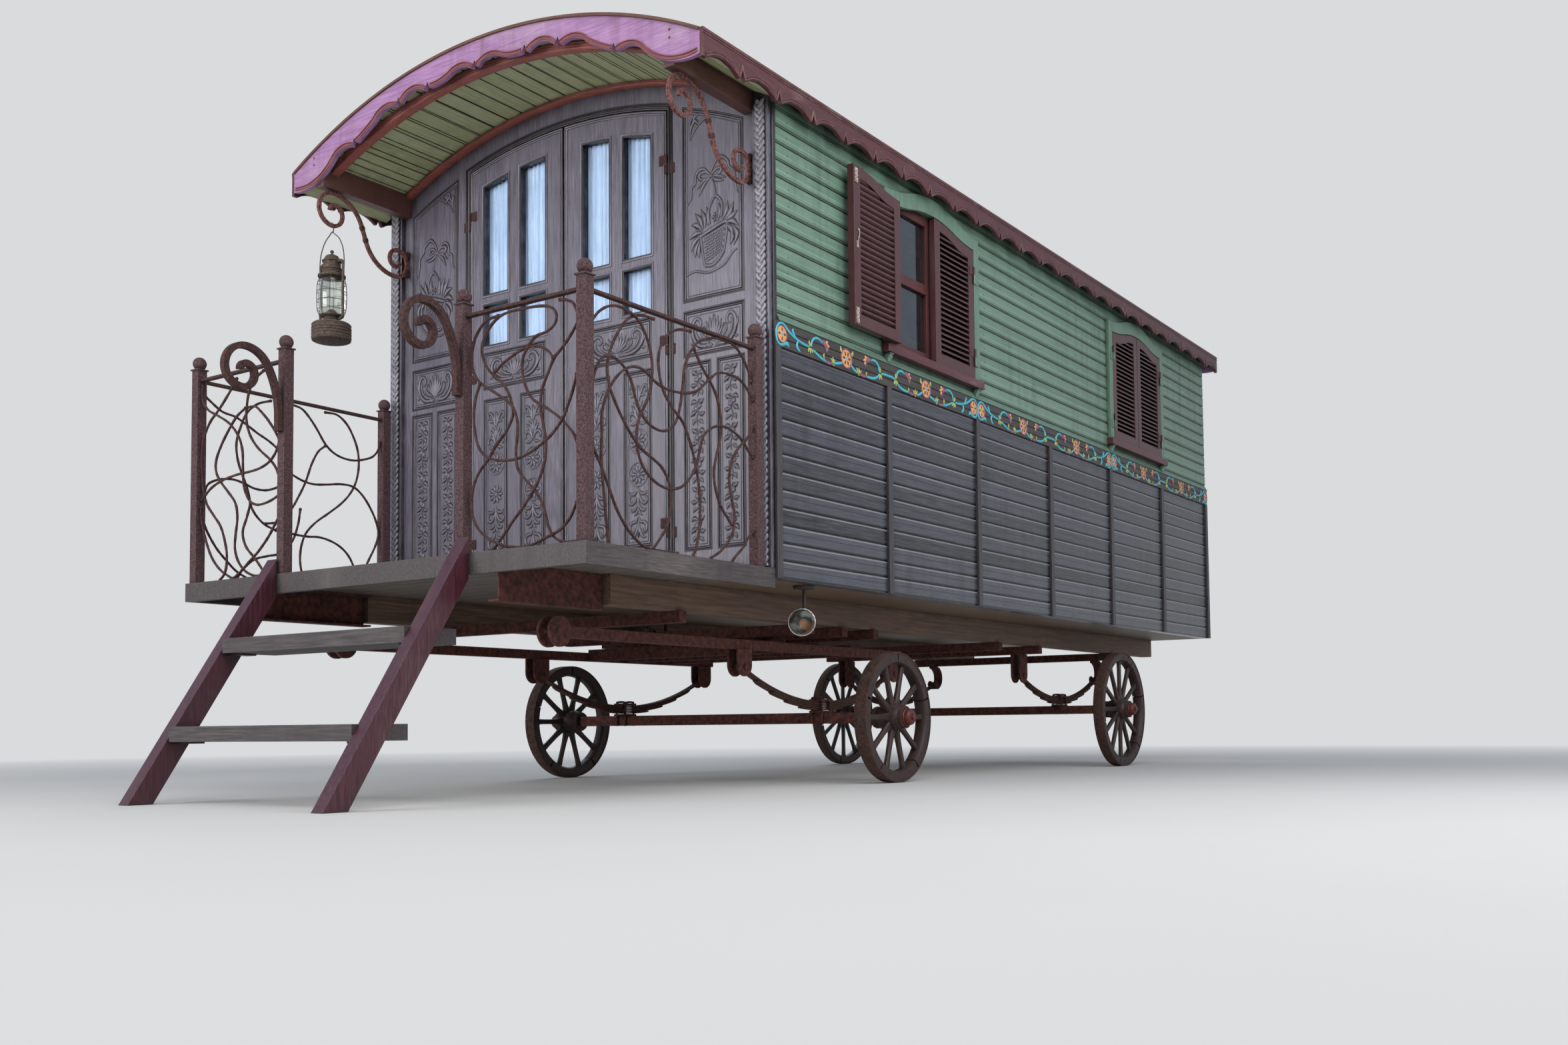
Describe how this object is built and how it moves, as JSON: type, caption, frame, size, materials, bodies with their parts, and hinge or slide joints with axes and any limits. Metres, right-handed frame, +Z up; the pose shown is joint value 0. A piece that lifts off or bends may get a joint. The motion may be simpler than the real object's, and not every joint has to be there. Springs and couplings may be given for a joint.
{
  "type": "vardo wagon",
  "caption": "Travellers' show wagon: boarded house under a bowed roof, railed porch with stairs, double arched doors, louvred shutters, leaf-sprung wooden wheels.",
  "frame": {"origin": "centre of the overall box, on the ground", "axes": "+Y from the porch to the rear, +X to the wagon's right as seen from the porch, +Z up"},
  "size_m": [2.55, 7.5358, 3.334],
  "materials": {
    "wood_dark": "oiled, weathered",
    "boards_upper": "sage green paint, satin",
    "boards_lower": "near-black stain, weathered",
    "batten_paint": "near-black stain, weathered",
    "frieze_paint": "dark brown stain with painted ornament",
    "sill_paint": "maroon paint, worn",
    "fascia_paint": "mauve pink paint, worn",
    "valance_paint": "maroon paint, worn",
    "shutter_paint": "maroon brown paint, satin",
    "roof_skin": "matt",
    "soffit_paint": "grey green paint, matt",
    "rib_paint": "dark red paint, satin",
    "rusty_iron": "rusted brown paint",
    "lantern_pane": "clear, dusty",
    "pane": "clear",
    "lace": "sheer",
    "deck_wood": "bare, weathered",
    "stair_paint": "maroon paint, worn",
    "beam_wood": "bare, aged",
    "black_iron": "red-brown paint, rusted",
    "wheel_wood": "red-brown paint, aged"
  },
  "bodies": {
    "house": {"floor": "deck_wood", "lower_walls": "boards_lower", "upper_walls": "boards_upper", "rear_wall": "boards_lower", "front_wall": "wood_dark", "side_panels": "wood_dark", "roof": "roof_skin", "soffit": "soffit_paint", "fascias": "fascia_paint", "eave_valances": "valance_paint", "canopy_frame": "rib_paint", "scroll_brackets": "rusty_iron", "lantern_frame": "rusty_iron", "lantern_glass": "lantern_pane", "corner_posts": "wood_dark", "battens": "batten_paint", "frieze": "frieze_paint", "window_casings": "boards_upper", "window_sills": "sill_paint", "window_sashes": "sill_paint", "window_glass": "pane", "deck_boards": "deck_wood", "deck_fascia": "deck_wood", "rail_posts": "rusty_iron", "rail_front": "rusty_iron", "rail_sides": "rusty_iron", "handrails": "rusty_iron", "stair_stringers": "stair_paint", "stair_treads": "stair_paint", "main_beams": "beam_wood", "cross_members": "black_iron", "deck_channels": "black_iron", "rear_springs": "black_iron", "rear_hangers": "black_iron", "rear_axle": "black_iron", "spot_lamps": "black_iron"},
    "fore_carriage": {"turntable": "black_iron", "carriage_bars": "black_iron", "front_hangers": "black_iron", "front_springs": "black_iron", "front_axle": "black_iron"},
    "front_wheel_left": {"front_wheel_left": "wheel_wood"},
    "rear_wheel_left": {"rear_wheel_left": "wheel_wood"},
    "front_wheel_right": {"front_wheel_right": "wheel_wood"},
    "rear_wheel_right": {"rear_wheel_right": "wheel_wood"},
    "door_left": {"door_left": "wood_dark", "door_glass_left": "pane", "curtain_left": "lace"},
    "door_right": {"door_right": "wood_dark", "door_glass_right": "pane", "curtain_right": "lace"},
    "shutter_left_1_front": {"shutter_left_1_front": "shutter_paint"},
    "shutter_left_1_rear": {"shutter_left_1_rear": "shutter_paint"},
    "shutter_left_2_front": {"shutter_left_2_front": "shutter_paint"},
    "shutter_left_2_rear": {"shutter_left_2_rear": "shutter_paint"},
    "shutter_right_1_front": {"shutter_right_1_front": "shutter_paint"},
    "shutter_right_1_rear": {"shutter_right_1_rear": "shutter_paint"},
    "shutter_right_2_front": {"shutter_right_2_front": "shutter_paint"},
    "shutter_right_2_rear": {"shutter_right_2_rear": "shutter_paint"}
  },
  "joints": [
    {"name": "steering", "type": "hinge", "parent": "house", "child": "fore_carriage", "pos_m": [0, -0.77215, 0.7], "axis": [0, 0, 1], "range_deg": [-45, 45]},
    {"name": "front_wheel_left_spin", "type": "hinge", "parent": "fore_carriage", "child": "front_wheel_left", "pos_m": [-1.075, -0.77215, 0.318], "axis": [1, 0, 0], "continuous": true},
    {"name": "rear_wheel_left_spin", "type": "hinge", "parent": "house", "child": "rear_wheel_left", "pos_m": [-1.075, 2.17785, 0.372], "axis": [1, 0, 0], "continuous": true},
    {"name": "front_wheel_right_spin", "type": "hinge", "parent": "fore_carriage", "child": "front_wheel_right", "pos_m": [1.075, -0.77215, 0.318], "axis": [1, 0, 0], "continuous": true},
    {"name": "rear_wheel_right_spin", "type": "hinge", "parent": "house", "child": "rear_wheel_right", "pos_m": [1.075, 2.17785, 0.372], "axis": [1, 0, 0], "continuous": true},
    {"name": "door_left_hinge", "type": "hinge", "parent": "house", "child": "door_left", "pos_m": [-0.628, -1.95815, 2], "axis": [0, 0, -1], "range_deg": [0, 90]},
    {"name": "door_right_hinge", "type": "hinge", "parent": "house", "child": "door_right", "pos_m": [0.628, -1.95815, 2], "axis": [0, 0, 1], "range_deg": [0, 90]},
    {"name": "shutter_left_1_front_hinge", "type": "hinge", "parent": "house", "child": "shutter_left_1_front", "pos_m": [-1.228, -0.97715, 2.45], "axis": [0, 0, 1], "range_deg": [0, 180]},
    {"name": "shutter_left_1_rear_hinge", "type": "hinge", "parent": "house", "child": "shutter_left_1_rear", "pos_m": [-1.228, -0.12715, 2.45], "axis": [0, 0, -1], "range_deg": [0, 180]},
    {"name": "shutter_left_2_front_hinge", "type": "hinge", "parent": "house", "child": "shutter_left_2_front", "pos_m": [-1.228, 1.82285, 2.45], "axis": [0, 0, 1], "range_deg": [0, 180]},
    {"name": "shutter_left_2_rear_hinge", "type": "hinge", "parent": "house", "child": "shutter_left_2_rear", "pos_m": [-1.228, 2.67285, 2.45], "axis": [0, 0, -1], "range_deg": [0, 180]},
    {"name": "shutter_right_1_front_hinge", "type": "hinge", "parent": "house", "child": "shutter_right_1_front", "pos_m": [1.228, -0.97715, 2.45], "axis": [0, 0, -1], "range_deg": [-180, 0]},
    {"name": "shutter_right_1_rear_hinge", "type": "hinge", "parent": "house", "child": "shutter_right_1_rear", "pos_m": [1.228, -0.12715, 2.45], "axis": [0, 0, 1], "range_deg": [0, 180]},
    {"name": "shutter_right_2_front_hinge", "type": "hinge", "parent": "house", "child": "shutter_right_2_front", "pos_m": [1.228, 1.82285, 2.45], "axis": [0, 0, -1], "range_deg": [0, 180]},
    {"name": "shutter_right_2_rear_hinge", "type": "hinge", "parent": "house", "child": "shutter_right_2_rear", "pos_m": [1.228, 2.67285, 2.45], "axis": [0, 0, 1], "range_deg": [0, 180]}
  ]
}
